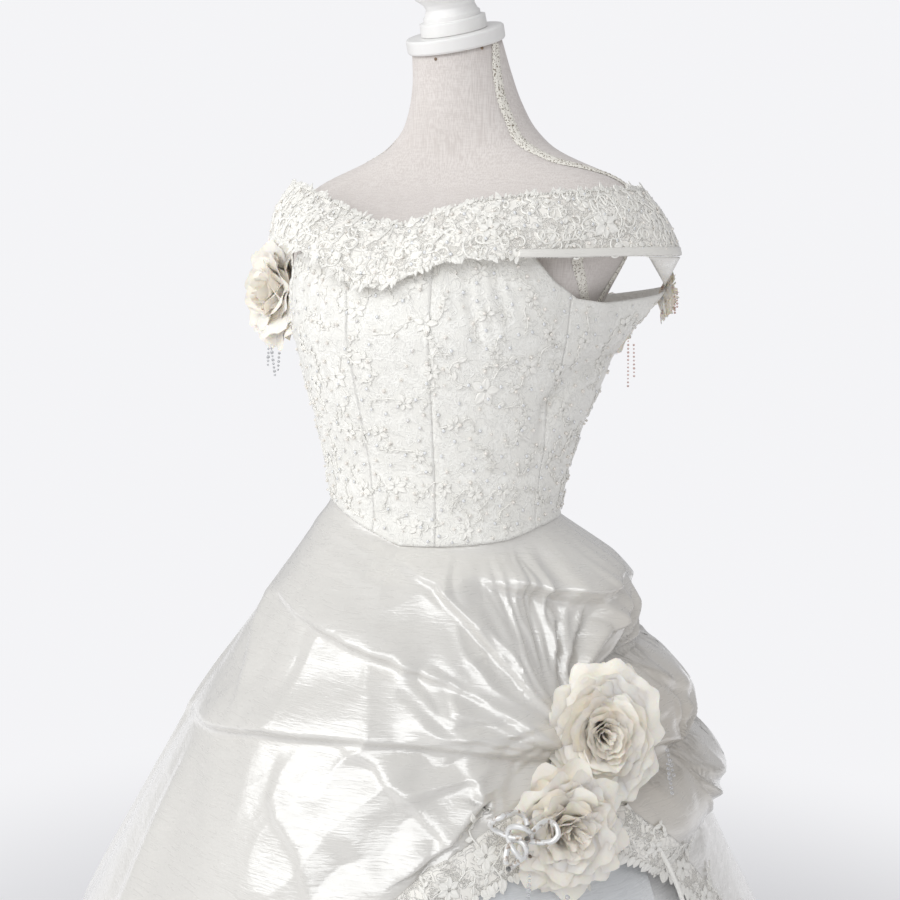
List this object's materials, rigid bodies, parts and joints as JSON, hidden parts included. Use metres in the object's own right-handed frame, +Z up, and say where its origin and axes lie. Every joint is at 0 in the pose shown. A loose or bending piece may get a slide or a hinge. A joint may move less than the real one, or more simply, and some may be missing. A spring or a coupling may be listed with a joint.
{
  "type": "wedding dress on dress form",
  "caption": "Ivory off-the-shoulder wedding dress with a lace collar, fitted bodice and full skirt gathered up at the left hip under cloth roses, on a linen dress form.",
  "frame": {"origin": "middle of the stand's underside, on the axis of its pole", "axes": "+Z up, the front of the dress faces -Y, +X towards the garment's own left"},
  "size_m": [1.2766, 1.3656, 1.6116],
  "materials": {
    "ivory_satin": "ivory satin under corded lace, soft sheen",
    "lace": "ivory corded lace on net, matt",
    "organza": "crisp crystal organza with a bright crumpled sheen",
    "sheer_organza": "sheer cool white organza",
    "underskirt": "ivory taffeta, soft sheen",
    "rose_cloth": "cream organza roses with amber creases",
    "linen": "natural linen, matt plain weave",
    "white_paint": "white painted wood, soft gloss",
    "braid": "speckled cream gimp braid",
    "pearl": "small round pearls and sequins",
    "crystal": "clear and rose-tinted hanging beads"
  },
  "bodies": {
    "root": {"back_button_01": "ivory_satin", "back_button_02": "ivory_satin", "back_button_03": "ivory_satin", "back_button_04": "ivory_satin", "back_button_05": "ivory_satin", "back_button_06": "ivory_satin", "back_button_07": "ivory_satin", "back_button_08": "ivory_satin", "back_button_09": "ivory_satin", "back_button_10": "ivory_satin", "back_placket": "ivory_satin", "bodice_back_left": "ivory_satin", "bodice_back_right": "ivory_satin", "bodice_front_centre": "ivory_satin", "bodice_front_left": "ivory_satin", "bodice_front_right": "ivory_satin", "bodice_side_left": "ivory_satin", "bodice_side_right": "ivory_satin", "collar_binding": "ivory_satin", "collar_lace_left": "lace", "collar_lace_right": "lace", "collar_tab_left": "ivory_satin", "collar_tab_right": "ivory_satin", "flounce_left": "organza", "form_torso": "linen", "lace_edging_back": "lace", "lace_edging_front": "lace", "lace_edging_hip": "lace", "neck_cap": "white_paint", "neck_finial": "white_paint", "organza_layer": "sheer_organza", "overskirt_back_left": "organza", "overskirt_back_right": "organza", "overskirt_front": "organza", "overskirt_hip_left": "organza", "rose_hip_lower": "rose_cloth", "rose_hip_upper": "rose_cloth", "rose_shoulder_left": "rose_cloth", "rose_shoulder_right": "rose_cloth", "stand_base": "white_paint", "stand_pole": "white_paint", "underskirt_back": "underskirt", "underskirt_front": "underskirt", "underskirt_left": "underskirt", "underskirt_right": "underskirt"}
  },
  "joints": []
}
